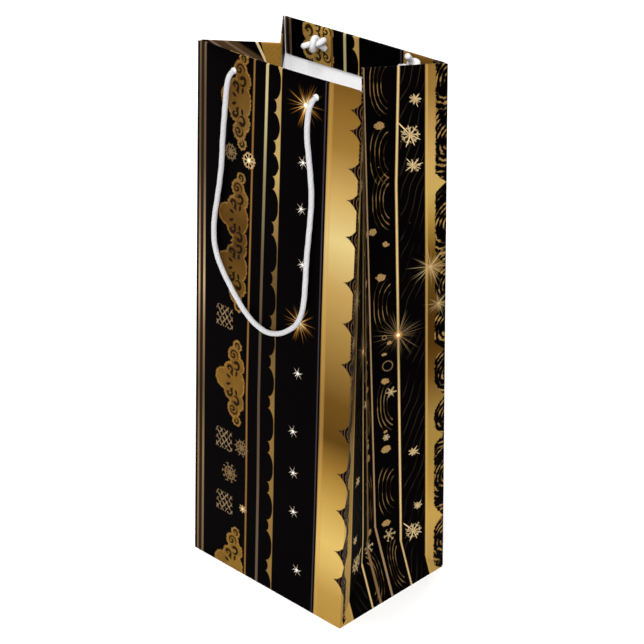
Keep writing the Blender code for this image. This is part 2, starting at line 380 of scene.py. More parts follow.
def make_side_flap(name, side, level, materials):
    columns = 13
    reach = SIDE_FLAP_REACH
    taper = 0.25
    run = np.concatenate([FLAP_START, np.linspace(0.003, reach, 12)])[:, None]
    half = HALF_DEPTH - FLAP_INSET - taper * run
    y = side * half * np.linspace(-1, 1, columns)[None, :]
    x = np.broadcast_to(side * (HALF_WIDTH - FLAP_INSET - run), y.shape)
    points = np.stack([x, y, np.full_like(y, level)], -1)[:, ::-1]
    prints = np.stack([WIDTH + HALF_DEPTH + y, np.broadcast_to(-run, y.shape)], -1)[:, ::-1]
    return paper_sheet(name, points, prints, materials, edge_slot=2)


def make_base_card(name, materials):
    """The loose board in the bottom, with rounded corners and a slight warp."""
    low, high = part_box("base_card")
    columns = 25
    half_x, half_y = high.x, high.y
    corner = 0.004
    y = half_y * np.linspace(-1, 1, columns)[:, None]
    cut = np.clip((np.abs(y) - (half_y - corner)) / corner, 0, 1)
    half = half_x - corner * (1 - np.sqrt(np.clip(1 - cut**2, 0, 1)))
    x = half * np.linspace(-1, 1, columns)[None, :]
    y = np.broadcast_to(y, x.shape)
    warp = 0.0003 * (x / half_x) ** 2 * (y / half_y)
    z = (low.z + high.z) / 2 + warp
    points = np.stack([x, y, z], -1)
    prints = np.stack([x, y], -1)
    return paper_sheet(name, points, prints, materials, thickness=high.z - low.z)


def make_seam_flap(name, materials):
    """The glued seam strip inside the rear panel, by its left corner."""
    low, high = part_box("glue_seam_flap")
    behind_panel = 0.00075
    height = np.linspace(low.z, high.z, 30)[:, None]
    x = np.linspace(high.x, low.x, 8)[None, :]
    x, height = np.broadcast_arrays(x, height)
    y = panel_y(1, x, height) - behind_panel
    points = np.stack([x, y, height], -1)
    prints = np.stack([x, height], -1)
    return paper_sheet(name, points, prints, materials, edge_slot=2)


# Cord handles


# The hanging loop, as points (right, down from the holes, out from the panel)
HANDLE_ROUTE = (
    (-0.0330, 0.0080, 0.0052), (-0.0352, 0.0200, 0.0044), (-0.0386, 0.0420, 0.0032),
    (-0.0400, 0.0560, 0.0026), (-0.0420, 0.0695, 0.0024), (-0.0446, 0.0830, 0.0023),
    (-0.0468, 0.0960, 0.0023), (-0.0460, 0.1110, 0.0023), (-0.0390, 0.1245, 0.0023),
    (-0.0242, 0.1405, 0.0023), (-0.0133, 0.1485, 0.0023), (-0.0025, 0.1518, 0.0023),
    (0.0071, 0.1505, 0.0023), (0.0165, 0.1455, 0.0023), (0.0245, 0.1378, 0.0023),
    (0.0287, 0.1270, 0.0023), (0.0300, 0.1125, 0.0023), (0.0306, 0.0955, 0.0023),
    (0.0320, 0.0785, 0.0023), (0.0332, 0.0600, 0.0024), (0.0325, 0.0465, 0.0028),
    (0.0310, 0.0310, 0.0036), (0.0306, 0.0200, 0.0046), (0.0318, 0.0080, 0.0052),
)
EXIT_SLOPE = math.radians(20)
EXIT_BEND = 0.006

# Panel, card and turned-in top together
STACK = 0.0018

# Each knot as (direction of its tail, how far it sits off its hole, points its tail is cut by)
KNOTS = {
    "rear_left": ((-0.30, 0.25, 0.80), (0.0062, 0.0), 4),
    "rear_right": ((0.50, 0.95, 0.20), (0.0058, -0.0008), 1),
    "front_left": ((-0.45, -0.70, 0.55), (0.0, 0.0), 3),
    "front_right": ((0.40, -0.72, 0.55), (0.0, 0.0), 3),
}


def exit_points():
    """Where a cord end runs from its knot through the hole and bends down: (down, out) points."""
    straight = [(-0.0017, -0.0046), (-0.0009, -0.0022), (0.0000, 0.0003)]
    start_down, start_out = 0.0003, 0.0010
    bend = []
    for turn in (EXIT_SLOPE, math.radians(45), math.radians(70)):
        bend.append((
            start_down + EXIT_BEND * (math.cos(EXIT_SLOPE) - math.cos(turn)),
            start_out + EXIT_BEND * (math.sin(turn) - math.sin(EXIT_SLOPE)),
        ))
    return straight + bend


def handle_points(end):
    """The handle's route in the scene, from knot to knot. The rear handle is the front one turned about."""
    ends = exit_points()
    route = [(-HOLE_X, down, out) for down, out in ends]
    route += list(HANDLE_ROUTE)
    route += [(HOLE_X, down, out) for down, out in reversed(ends)]
    points = []
    for right, down, out in route:
        x = -end * right
        z = HOLE_Z - down
        points.append((x, panel_y(end, x, z) + end * out, z))
    return smooth_line(np.array(points), 0.0011)


def smooth_line(points, spacing):
    """A smooth curve through the points, sampled at an even spacing."""
    padded = np.concatenate([2 * points[:1] - points[1:2], points, 2 * points[-1:] - points[-2:-1]])
    fine = []
    for a, b, c, d in zip(padded, padded[1:], padded[2:], padded[3:]):
        share = np.linspace(0, 1, 24, endpoint=False)[:, None]
        fine.append(
            0.5 * (2 * b + (c - a) * share + (2 * a - 5 * b + 4 * c - d) * share**2
                   + (3 * b - a - 3 * c + d) * share**3)
        )
    fine = np.concatenate(fine + [points[-1:]])
    for _ in range(30):
        fine[1:-1] += 0.25 * (fine[:-2] - 2 * fine[1:-1] + fine[2:])
    return resample(fine, spacing)


def run_along(points):
    return np.concatenate([[0], np.cumsum(np.linalg.norm(np.diff(points, axis=0), axis=1))])


def resample(points, spacing):
    run = run_along(points)
    count = max(4, int(round(run[-1] / spacing)) + 1)
    places = np.linspace(0, run[-1], count)
    return np.stack([np.interp(places, run, points[:, k]) for k in range(3)], 1)


def tighten_knot(diameter):
    """An overhand knot pulled tight, worked out as a chain that can't pass through itself.

    Its standing end leaves along -Z from the origin and its tail leaves to the side.
    """
    spacing = diameter * 0.4
    t = np.linspace(-2.35, 2.35, 240)
    loose = np.stack([
        (t**3 - 3 * t) * 0.75, (t**5 - 10 * t) * 0.13, (t**4 - 4 * t**2) * 0.55,
    ], 1) * diameter
    chain = resample(loose, spacing)
    count = len(chain)
    index = np.arange(count)
    apart = np.abs(index[:, None] - index[None, :]) >= 5
    standing = np.array([0.0, 0.25, -1.0])
    tail = np.array([0.9, -0.15, 0.45])
    standing /= np.linalg.norm(standing)
    tail /= np.linalg.norm(tail)
    steps, pulled_steps = 700, 520
    for step in range(steps):
        if step < pulled_steps:
            chain[0] += standing * spacing * 0.05
            chain[-1] += tail * spacing * 0.05
        chain[1:-1] += 0.10 * (chain[:-2] - 2 * chain[1:-1] + chain[2:])
        for _ in range(3):
            gap = chain[1:] - chain[:-1]
            distance = np.linalg.norm(gap, axis=1, keepdims=True)
            push = gap * (0.5 * (1 - spacing / distance))
            chain[:-1] += push * 0.9
            chain[1:] -= push * 0.9
            between = chain[:, None] - chain[None, :]
            reach = np.linalg.norm(between, axis=-1) + 1e-9
            short = np.where(apart & (reach < diameter), diameter - reach, 0)
            chain += (between / reach[..., None] * short[..., None] * 0.24).sum(1)
    return chain


def frame_along(points):
    """Two side directions for each point of a line, which don't spin about it."""
    tangent = unit(np.gradient(points, axis=0))
    side = np.cross(tangent[0], (0.31, 0.17, 0.94))
    side /= np.linalg.norm(side)
    sides = [side]
    for direction in tangent[1:]:
        side = side - direction * side.dot(direction)
        side = side / np.linalg.norm(side)
        sides.append(side)
    sides = np.array(sides)
    return sides, np.cross(tangent, sides)


def rope(name, points, radius, material, sides=24):
    """A laid cord of three soft strands along the points, its last end rounded."""
    run = run_along(points)
    side, other = frame_along(points)
    turn = np.linspace(0, 2 * math.pi, sides, endpoint=False)
    lay = 2 * math.pi / (radius * 2 * 3.4)
    strand = np.abs(np.cos(1.5 * (turn[None, :] - run[:, None] * lay / 3)))
    swell = radius * (0.955 + 0.085 * strand**0.7 - 0.04)
    from_end = np.clip((run[-1] - run) / (radius * 0.9), 0, 1)
    taper = np.sqrt(np.clip(1 - (1 - from_end) ** 2, 0.02, 1))
    swell = swell * taper[:, None]
    rings = (
        points[:, None] + swell[..., None]
        * (np.cos(turn)[None, :, None] * side[:, None] + np.sin(turn)[None, :, None] * other[:, None])
    )
    rows = len(points)
    faces = ring_faces(rows, sides)
    uvs = []
    for low, high in zip(run[:-1] / radius, run[1:] / radius):
        for k in range(sides):
            left, right = k / sides, (k + 1) / sides
            uvs += [(left, low), (right, low), (right, high), (left, high)]
    for row, flip in ((0, True), (rows - 1, False)):
        cap = tuple(row * sides + k for k in range(sides))
        faces.append(cap[::-1] if flip else cap)
        uvs += [(0.5, run[row] / radius)] * sides
    mesh = bpy.data.meshes.new(name)
    mesh.from_pydata(rings.reshape(-1, 3).tolist(), [], faces)
    mesh.uv_layers.new(name="cord").data.foreach_set("uv", np.array(uvs).ravel())
    mesh.shade_smooth()
    mesh.materials.append(material)
    return add_to_scene(name, mesh)


def knot_core(chain, diameter):
    """The tight part of the chain with a short tail, its middle at the origin and its tail along +Z."""
    index = np.arange(len(chain))
    others = np.abs(index[:, None] - index[None, :]) >= 6
    reach = np.linalg.norm(chain[:, None] - chain[None, :], axis=-1)
    tight = np.flatnonzero(np.where(others, reach, 1.0).min(1) < diameter * 1.35)
    first, last = tight[0], tight[-1]
    middle = chain[first:last].mean(0)
    core = chain[first:last + 7] - middle
    turn = Vector(chain[last] - chain[first]).rotation_difference(Vector((0, 0, 1))).to_matrix()
    return core @ np.array(turn).T


def knot_body(tail, shift, core):
    """The knot against its panel, as points (right of its hole, above it, into the bag).

    Its tail points towards tail, given the same way, and shift moves it right and up.
    """
    turn = Vector((0, 0, 1)).rotation_difference(Vector(tail).normalized()).to_matrix()
    body = core @ np.array(turn).T
    body[:, :2] += np.array(shift) - body[0, :2] * 0.8
    least = STACK + KNOT_CORD_RADIUS
    body[:, 2] += least + 0.0016 - body[0, 2]
    flattened = least + 0.05 * (body[:, 2] - least)
    body[:, 2] = np.where(body[:, 2] > least, body[:, 2], flattened)
    return body


def make_knot(name, end, x, body, material):
    """A knot on the inner side of the panel, which follows the panel's shape, and its neck in the hole."""
    entry = np.array([(0, -0.0002, -0.0010), (0, 0.0004, 0.0014)])
    route = np.concatenate([entry, body])
    across, up = x + route[:, 0], HOLE_Z + route[:, 1]
    placed = np.stack([across, panel_y(end, across, up) - end * route[:, 2], up], 1)
    return rope(name, smooth_line(placed, 0.0006), KNOT_CORD_RADIUS, material, sides=20)


def make_handles():
    """Both handles, with a knot at each end. Each cord bends down where it leaves its holes."""
    material = cord_material("white_cord", (184, 183, 185), (158, 156, 156))
    # The knots are the same cord in brighter colours: painted light that makes them look more brightly lit
    # than the handles
    painted_bright_knot_material = cord_material("white_knot", (218, 217, 219), (190, 188, 188))
    core = knot_core(tighten_knot(2 * KNOT_CORD_RADIUS), 2 * KNOT_CORD_RADIUS)
    for end_name, end in ENDS:
        for side_name, side in SIDES:
            knot_name = f"{end_name}_{side_name}"
            tail, shift, cut = KNOTS[knot_name]
            body = knot_body(tail, shift, core[:-cut])
            knot = make_knot(knot_name + "_knot_tied", end, side * HOLE_X, body, painted_bright_knot_material)
            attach(knot, end_name)
            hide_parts(knot_name + "_knot")
        points = handle_points(end)
        cord = rope(end_name + "_handle_rope", points, CORD_RADIUS, material)
        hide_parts(end_name + "_handle_cord")
        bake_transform(cord)
        exit_x = end * HOLE_X
        panel_y(end, exit_x, HOLE_Z)


def cord_material(name, pale, dark):
    """White cotton cord: fine yarns laid along three strands, with a soft sheen."""
    material, tree, shader = new_material(name)
    around, run = uv_place(tree, "cord")
    yarn = ((around * 18 - run * 2.65).use("FRACT") - 0.5).size() * 2
    strand = (around * 3 - run * 0.441).use("FRACT")
    groove = (((strand - 0.5).size() * 2) - 0.72).most(0.0) * 3.2
    fluff = noise(around * 40, run * 14, 1.0, 3.0)
    height = (yarn * -0.35) - groove * 0.55 + fluff * 0.5
    shadow = (groove * 0.6 + yarn * 0.16 + fluff * 0.35).clamp()
    shade = paint(solid(tree, pale), solid(tree, dark), shadow)
    tree.links.new(shade, shader.inputs["Base Color"])
    set_inputs(shader, {
        "Roughness": 0.72, "Specular IOR Level": 0.3, "Sheen Weight": 0.25, "Sheen Roughness": 0.4,
    })
    add_bump(shader, height, 0.5, 0.0003)
    return material


# Shader fields: arithmetic on them adds Math nodes


class Field:
    """A number that varies over a surface."""

    def __init__(self, tree, socket):
        self.tree = tree
        self.socket = socket

    def use(self, operation, *others, clamp=False):
        node = self.tree.nodes.new("ShaderNodeMath")
        node.operation = operation
        node.use_clamp = clamp
        for place, value in enumerate((self, *others)):
            if isinstance(value, Field):
                self.tree.links.new(value.socket, node.inputs[place])
            else:
                node.inputs[place].default_value = value
        return Field(self.tree, node.outputs[0])

    def __add__(self, other):
        return self.use("ADD", other)

    def __sub__(self, other):
        return self.use("SUBTRACT", other)

    def __mul__(self, other):
        return self.use("MULTIPLY", other)

    def __truediv__(self, other):
        return self.use("DIVIDE", other)

    def __neg__(self):
        return self.use("MULTIPLY", -1.0)

    def above(self, value):
        """value minus this field."""
        return self.use("MULTIPLY_ADD", -1.0, value)

    def clamp(self):
        return self.use("ADD", 0.0, clamp=True)

    def size(self):
        return self.use("ABSOLUTE")

    def least(self, other):
        return self.use("MINIMUM", other)

    def most(self, other):
        return self.use("MAXIMUM", other)

    def power(self, other):
        return self.use("POWER", other)


def uv_place(tree, uv_map):
    """The two coordinates of a UV map."""
    uv = tree.nodes.new("ShaderNodeUVMap")
    uv.uv_map = uv_map
    split = tree.nodes.new("ShaderNodeSeparateXYZ")
    tree.links.new(uv.outputs[0], split.inputs[0])
    return Field(tree, split.outputs[0]), Field(tree, split.outputs[1])


def joined(across, along, third=0.0):
    """Two fields and a number as one vector."""
    join = across.tree.nodes.new("ShaderNodeCombineXYZ")
    across.tree.links.new(across.socket, join.inputs[0])
    across.tree.links.new(along.socket, join.inputs[1])
    join.inputs[2].default_value = third
    return join.outputs[0]


def length(across, along):
    measure = across.tree.nodes.new("ShaderNodeVectorMath")
    measure.operation = "LENGTH"
    across.tree.links.new(joined(across, along), measure.inputs[0])
    return Field(across.tree, measure.outputs["Value"])


def angle(across, along):
    return along.use("ARCTAN2", across)


def noise_texture(tree, vector, scale, detail, roughness=0.5):
    """Smooth noise from about 0 to 1. scale is in waves per unit of the vector."""
    texture = tree.nodes.new("ShaderNodeTexNoise")
    tree.links.new(vector, texture.inputs["Vector"])
    set_inputs(texture, {"Scale": scale, "Detail": detail, "Roughness": roughness})
    return Field(tree, texture.outputs[0])


def noise(across, along, scale, detail, seed=0.0):
    """Smooth noise around 0, from about -0.5 to 0.5."""
    return noise_texture(across.tree, joined(across, along, seed), scale, detail) - 0.5


def grain(tree, scale, detail, roughness=0.5):
    """Noise in the piece's own space."""
    place = tree.nodes.new("ShaderNodeTexCoord")
    return noise_texture(tree, place.outputs["Object"], scale, detail, roughness)


def inside(distance, soft=0.2):
    """1 where the distance is below 0 and 0 where it is above, over a soft edge."""
    return distance.use("MULTIPLY_ADD", -1 / soft, 0.5, clamp=True)


def band(place, low, high, soft=0.2):
    middle = (low + high) / 2
    return inside((place - middle).size() - (high - low) / 2, soft)


def linear(colour):
    """An sRGB colour in 0 to 255 as linear values."""
    return [
        value / 255 / 12.92 if value <= 10 else ((value / 255 + 0.055) / 1.055) ** 2.4
        for value in colour
    ]


def solid(tree, colour):
    node = tree.nodes.new("ShaderNodeRGB")
    node.outputs[0].default_value = (*linear(colour), 1)
    return node.outputs[0]


def ramp(field, stops):
    """A colour that runs through (place, sRGB colour) stops."""
    node = field.tree.nodes.new("ShaderNodeValToRGB")
    low, high = stops[0][0], stops[-1][0]
    field.tree.links.new(((field - low) / (high - low)).socket, node.inputs[0])
    fill_ramp(node, [((place - low) / (high - low), linear(colour)) for place, colour in stops])
    return node.outputs[0]


# How nearest() scales millimetres
ACROSS_SPAN = 200
DOWN_START = 100
DOWN_SPAN = 500
SIZE_SPAN = 50


def fill_ramp(node, stops):
    elements = node.color_ramp.elements
    while len(elements) > 1:
        elements.remove(elements[-1])
    for index, (place, colour) in enumerate(stops):
        element = elements[0] if index == 0 else elements.new(place)
        element.position = place
        element.color = (*colour, 1)


def nearest(across, down, centres, low=-30.0):
    """Offsets from the nearest centre, and its size. centres are (across, down, size) from top to bottom.

    A stepped colour ramp down the blank holds them, scaled to fit in its 0 to 1.
    """
    tree = down.tree
    high = 345.0
    node = tree.nodes.new("ShaderNodeValToRGB")
    node.color_ramp.interpolation = "CONSTANT"
    tree.links.new(((down - low) / (high - low)).socket, node.inputs[0])
    starts = [low] + [(a[1] + b[1]) / 2 for a, b in zip(centres, centres[1:])]
    fill_ramp(node, [
        (
            (start - low) / (high - low),
            (across_mm / ACROSS_SPAN, (down_mm + DOWN_START) / DOWN_SPAN, size_mm / SIZE_SPAN),
        )
        for start, (across_mm, down_mm, size_mm) in zip(starts, centres)
    ])
    split = tree.nodes.new("ShaderNodeSeparateColor")
    tree.links.new(node.outputs[0], split.inputs[0])
    centre_across, centre_down, size = (Field(tree, split.outputs[k]) for k in range(3))
    from_centre = across - centre_across * ACROSS_SPAN, down - (centre_down * DOWN_SPAN - DOWN_START)
    return *from_centre, size * SIZE_SPAN


def paint(under, over, mask):
    """Lay one colour over another where the mask is 1."""
    tree = mask.tree
    node = tree.nodes.new("ShaderNodeMix")
    node.data_type = "RGBA"
    tree.links.new(mask.socket, node.inputs["Factor"])
    tree.links.new(under, node.inputs[6])
    tree.links.new(over, node.inputs[7])
    return node.outputs[2]


# Printed motifs. Offsets and sizes are in millimetres on the flat blank


def star(x, y, size, rays, sharp=5.0, turn=0.0, core=0.22, uneven=0.0):
    """A small star with pointed rays. uneven varies their length."""
    ray = (angle(x, y) * (rays / 2) + turn).use("COSINE").size().power(sharp)
    reach = length(x, y)
    if uneven:
        spread = noise(x / reach + size * 3.7, y / reach, 1.9, 0.0, turn + rays)
        ray = ray * (spread * (uneven * 4) + 1.0 - uneven * 0.4)
    edge = size * (ray * (1 - core) + core)
    return inside(reach - edge, 0.5)


def burst(x, y, size, fineness, seed):
    """A firework of fine rays of uneven length: how bright it is, from 0 to 1."""
    reach = length(x, y)
    share = reach / size
    spark = noise(x / reach, y / reach, fineness, 2.0, seed)
    thin = (spark * 9.0 + 0.55 - share * 1.2).clamp()
    core = share.use("MULTIPLY_ADD", -6.0, 1.1, clamp=True)
    return (thin * share.above(1.25).clamp()).most(core)


def snowflake(x, y, size, arms):
    """Arms with barbs, all a little uneven. A size of 0 leaves the place empty."""
    reach = length(x, y)
    turn = angle(x, y) * (arms / 2)
    off_arm = turn.use("SINE").size() * reach * (2 / arms)
    wobble = noise(x, y, 0.5, 1.0, 3.0)
    arm = inside(off_arm - 0.30 + wobble * 0.5, 0.4)
    barb = ((reach - off_arm * 0.9 + wobble).use("MULTIPLY", 0.42).use("FRACT") - 0.5).size()
    barbs = inside(barb * 2.4 - 0.36, 0.4) * inside(off_arm - reach * 0.26, 0.4)
    return arm.most(barbs) * inside(reach - size + wobble * size * 0.7, 0.5)


def lattice(x, y, size):
    """A loose square of crossing broken lines."""
    wobble = noise(x, y, 0.3, 1.0, 6.0)
    rising = stripes((x + y * 0.8) + wobble * 2.1, 4.2, 0.48)
    falling = stripes((x - y * 0.8) + wobble * 2.1, 4.2, 0.48)
    cross = rising.most(falling)
    gaps = (noise(x, y, 0.62, 1.0, 9.0) * 6.0 + 0.9).clamp()
    return cross * gaps * inside(x.size().most(y.size()) - size + wobble * 2.0, 0.8)


def stripes(place, pitch, half_width, soft=0.4):
    """Lines of the half width, one in every pitch. half_width is a number or a field."""
    from_line = ((place / pitch).use("FRACT") - 0.5).size() * pitch
    return inside(from_line - half_width, soft)


def curl(x, y, pitch, phase):
    """A spiral groove around the offset's origin, wider on one side."""
    turn = angle(x, y) / (2 * math.pi)
    groove = ((length(x, y) / pitch + turn + phase).use("FRACT") - 0.5).size()
    width = (turn + 0.5) * 0.34 + 0.10
    return inside(groove * pitch - width * pitch, 0.25)


def almond(x, y, reach, turn, scale):
    """A small dark leaf at a distance from the offset's origin, pointing away from it."""
    half_length, half_width = 1.9 * scale, 0.85 * scale
    along = x * math.cos(turn) + y * math.sin(turn) - reach
    aside = y * math.cos(turn) - x * math.sin(turn)
    slim = (along / half_length).power(2.0).above(1.0).most(0.0) * half_width
    return inside(aside.size() - slim, 0.3) * inside(along.size() - half_length, 0.3)


def leafy(x, away, lobes, ragged):
    """A union of ragged lobes: its shape, the dark cuts in it and its pale rim."""
    shape = None
    cuts = None
    for number, (lobe_x, lobe_away, size) in enumerate(lobes):
        dx, dy = x - lobe_x, away - lobe_away
        edge = length(dx, dy) - size
        shape = edge if shape is None else shape.least(edge)
        if number > 1:
            groove = curl(dx + 0.8, dy, size * 0.62, 0.31 * number)
            groove = groove * inside(edge + size * 0.38, 0.4)
            cuts = groove if cuts is None else cuts.most(groove)
    frilled = shape + ragged * 3.4
    heart_x, heart_size = lobes[1][0] + 2.0, lobes[1][2]
    for degrees in (280, 242, 204, 156, 118, 80):
        turn = math.radians(degrees)
        cuts = cuts.most(almond(x - heart_x, away, heart_size * 0.62, turn, heart_size / 9))
    notches = inside(ragged.above(0.26), 0.1) * inside(shape + 0.6, 0.5)
    rim = band(frilled, -1.1, -0.25, 0.4)
    return inside(frilled, 0.3), cuts.most(notches), rim


class Inks:
    """The inks printed so far: their colour, and how metallic they are."""

    def __init__(self, tree):
        self.tree = tree
        self.colour = solid(tree, BLACK)
        self.metal = None

    def lay(self, colour, mask, shine=0.0):
        """Print an sRGB colour or a node's colour where the mask is 1."""
        if isinstance(colour, tuple):
            colour = solid(self.tree, colour)
        self.colour = paint(self.colour, colour, mask)
        if shine:
            metal = mask * shine
            self.metal = metal if self.metal is None else self.metal.most(metal)


BLACK = (2, 1, 1)
CREAM = (200, 174, 128)
PALE_LEAF = (150, 118, 74)

# Colours down the blank, as (mm below the top fold, colour)
GOLD_DOWN = (
    (-25, (132, 98, 45)), (0, (104, 73, 25)), (35, (133, 100, 42)), (65, (175, 144, 82)),
    (90, (194, 172, 113)), (120, (165, 134, 74)), (150, (138, 108, 53)), (190, (93, 64, 17)),
    (215, (79, 53, 10)), (235, (134, 99, 38)), (255, (167, 133, 62)), (285, (198, 166, 92)),
    (300, (191, 159, 86)), (320, (167, 132, 62)), (345, (158, 123, 56)),
)
GUSSET_GOLD_DOWN = (
    (-25, (126, 92, 40)), (0, (120, 88, 40)), (16, (126, 96, 45)), (36, (151, 119, 66)),
    (60, (167, 136, 77)), (78, (164, 137, 73)), (96, (137, 108, 47)), (116, (89, 62, 18)),
    (136, (80, 56, 18)), (156, (62, 38, 8)), (176, (66, 41, 9)), (198, (90, 62, 19)),
    (228, (135, 108, 52)), (256, (142, 112, 50)), (276, (152, 118, 54)), (296, (170, 136, 68)),
    (318, (162, 129, 66)), (345, (160, 128, 64)),
)
LEAF_DOWN = (
    (-25, (176, 138, 70)), (-1, (176, 138, 70)), (1, (96, 66, 24)), (22, (92, 64, 22)),
    (45, (104, 78, 38)), (70, (96, 70, 30)), (85, (100, 70, 28)), (100, (74, 50, 13)),
    (122, (68, 46, 14)), (140, (92, 66, 22)), (165, (118, 86, 38)), (190, (112, 80, 26)),
    (219, (106, 76, 26)), (240, (102, 74, 24)), (290, (110, 80, 30)), (345, (126, 94, 36)),
)
PALE_LINE_DOWN = (
    (-25, (172, 158, 112)), (20, (172, 160, 116)), (70, (120, 108, 76)),
    (120, (84, 70, 52)), (190, (72, 58, 46)), (345, (92, 76, 60)),
)
SCALLOP_DOWN = (
    (-25, (186, 146, 78)), (20, (150, 124, 76)), (60, (166, 140, 84)), (90, (126, 100, 56)),
    (120, (92, 70, 38)), (145, (84, 62, 32)), (180, (98, 76, 42)), (215, (120, 92, 46)),
    (260, (118, 90, 44)), (345, (132, 102, 52)),
)
CORNER_LINE_DOWN = (
    (-25, (110, 88, 64)), (0, (100, 78, 56)), (30, (84, 64, 46)), (75, (86, 66, 48)),
    (110, (132, 106, 82)), (150, (172, 144, 112)), (180, (120, 94, 68)), (220, (88, 68, 48)),
    (265, (122, 96, 66)), (345, (100, 78, 54)),
)

# Places across a face from its left edge, in mm: (low, high) of a line, or where a band starts
CORNER_LINES = ((1.9, 3.4), (6.2, 8.0))
CLUSTER_BORDER = (44.6, 46.4)
PALE_LINE = (54.9, 57.0)
SCALLOP_LINE = (68.8, 69.5)
GOLD_EDGE = 106.5

# Places out from a gusset's centre crease, in mm
BRIGHT_LINE = 18.0
GUSSET_GOLD_EDGE = 35.2
BLACK_EDGING = 41.3
LEFT_MIRROR = 41.5

# Places of the motifs down the blank, in mm below the top fold. A motif is (across, down, size)
CLUSTER_LOBES = (
    (24.8, 0.0, 7.2), (33.0, 1.0, 10.5), (30.5, 8.0, 5.0),
    (36.5, 12.5, 6.6), (34.0, 18.5, 5.6), (36.6, 25.5, 3.8),
)
HEM_LOBES = ((33.0, 0.0, 9.4), (36.0, 3.0, 9.2), (27.0, 6.0, 6.0), (34.5, 9.5, 5.6), (41.5, 8.0, 5.4))
CLUSTERS = (-60, 27, 99, 130, 207.5, 338)
SCALLOPS = (-5, 23, 47.3, 68.8, 96.8, 128.3, 156.3, 182.4, 209.5, 240, 268, 295, 324)
THORNS = (11.8, 23.4, 45.5, 63.8, 85.4, 113, 138.3, 163.8, 206.6, 235.3, 259.8, 287.8, 307.3)
FACE_STARS = (
    (86.7, 50.5, 3.6), (86.5, 78.4, 3.4), (89, 112, 3.6), (87, 149, 0), (88.3, 181.8, 3.6),
    (85.8, 221.3, 3.6), (87, 249, 3.6), (87.8, 275.7, 3.6), (92, 315.4, 3.6),
)
ARCS = (10, 52, 80, 146, 211, 270, 322)
ARC_LEAVES = (
    (8.7, 34, 3.7), (7.7, 59, 0), (3.4, 98, 3.0), (11.2, 106.5, 2.4), (7.7, 127, 3.5), (12.4, 170, 1.7),
    (8.8, 177, 1.8), (9.2, 195, 3.0), (8.9, 229, 1.5), (8.9, 241, 4.0), (7.8, 293, 3.6), (9.0, 322, 0),
)
ARC_FLAKES = ((9.0, 28, 0), (12.7, 203, 3.4), (9.0, 233, 2.2), (9.6, 302, 4.2), (9.0, 330, 0))
ARC_RINGS = ((9.4, 140, 0), (9.2, 166, 1.3), (10.9, 185, 3.2), (9.0, 220, 0))
GUSSET_STARS = (
    (29.3, 20, 3.9), (26.5, 41, 6.8), (28.2, 59.7, 4.5), (26, 95, 0), (17.4, 166, 0), (26.8, 247.8, 3.4),
    (30.0, 287.3, 3.0), (26.8, 305, 6.8),
)
DIPS = ((-12, 8), (72, 7), (124.6, 9), (150, 9), (181, 6), (213, 11), (241, 7), (300, 10), (341, 5))
FEATHERS = (-30, 8, 46, 98, 137, 166, 197, 227, 270, 318, 350)


def in_column(places):
    """Motif centres at these places, one under another."""
    return [(0, place, 1) for place in places]


def print_place(tree):
    """The place on the blank in mm: across from its left edge and down from the folded top edge."""
    across, up = uv_place(tree, "print")
    return across * MM, up.use("MULTIPLY_ADD", -MM, HEIGHT * MM)


def face_print(tree):
    """The front and rear panels' print."""
    x, down = print_place(tree)
    ragged = noise(x, down, 0.75, 3.0)
    inks = Inks(tree)
    inks.lay((30, 22, 14), band(x, 1.6, 8.0))
    for line in CORNER_LINES:
        inks.lay(ramp(down, CORNER_LINE_DOWN), band(x, *line, 0.5), 0.5)

    # The bands fan out: towards the top they lean to the right, the left ones most
    low_part = ((down - 140) / 130).clamp() * 1.2
    top_part = (down / -210 + 1.0).clamp()
    left = x - low_part - top_part * 4.4
    lay_clusters(inks, left, down, ragged)
    lay_small_motifs(inks, left, down)
    inks.lay(ramp(down, PALE_LINE_DOWN), band(left, *PALE_LINE, 0.5), 0.6)
    lay_scallops(inks, x - low_part - top_part * 2.3, down)
    lay_star_band(inks, x - low_part * 0.3 - top_part * 3.0, down)

    # A thin violet-grey line, then the wide gold stripe with its brighter left edge
    stripe = x - low_part - GOLD_EDGE
    inks.lay((50, 44, 50), band(stripe, -2.4, -1.5, 0.5))
    inks.lay(ramp(down, GOLD_DOWN), inside(-stripe), 1.0)
    glint = ramp(stripe, ((0, (110, 80, 34)), (1.2, (192, 150, 80)), (3.5, (168, 126, 58))))
    inks.lay(glint, band(stripe, 0, 3.6, 0.4) * 0.35, 1.0)
    lay_thorns(inks, x - low_part, down, ragged)
    return inks


def lay_line(inks, x, low, high, colours, shine):
    """A line with its own colours at the left edge, in the middle and at the right edge."""
    stops = zip((low, (low + high) / 2, high), colours)
    inks.lay(ramp(x, tuple(stops)), band(x, low, high), shine)


def lay_clusters(inks, x, down, ragged):
    """Leafy gold clusters down the band, a larger one on the turned-in top, and the band's border."""
    _, from_cluster, _ = nearest(x, down, in_column(CLUSTERS), low=-60.0)
    cloudy = (noise(x, down, 0.12, 2.0, 4.0) * 2.4 + 0.3).clamp()
    leaf_gold = paint(ramp(down, LEAF_DOWN), solid(inks.tree, (84, 52, 16)), cloudy * 0.7)
    below_fold = inside(down.above(0.0)) * inside(x - CLUSTER_BORDER[0])
    for away, lobes, place in (
        (from_cluster.size(), CLUSTER_LOBES, below_fold),
        ((down + 11.0).size(), HEM_LOBES, inside(down + 0.2)),
    ):
        shape, cuts, rim = leafy(x, away, lobes, ragged)
        leaf = paint(leaf_gold, solid(inks.tree, (186, 144, 80)), rim * 0.2)
        leaf = paint(leaf, solid(inks.tree, (14, 8, 4)), cuts * 0.93)
        inks.lay(leaf, shape * place, 0.5)
    lay_line(inks, x, *CLUSTER_BORDER, ((66, 44, 20), (128, 92, 46), (80, 56, 26)), 0.6)


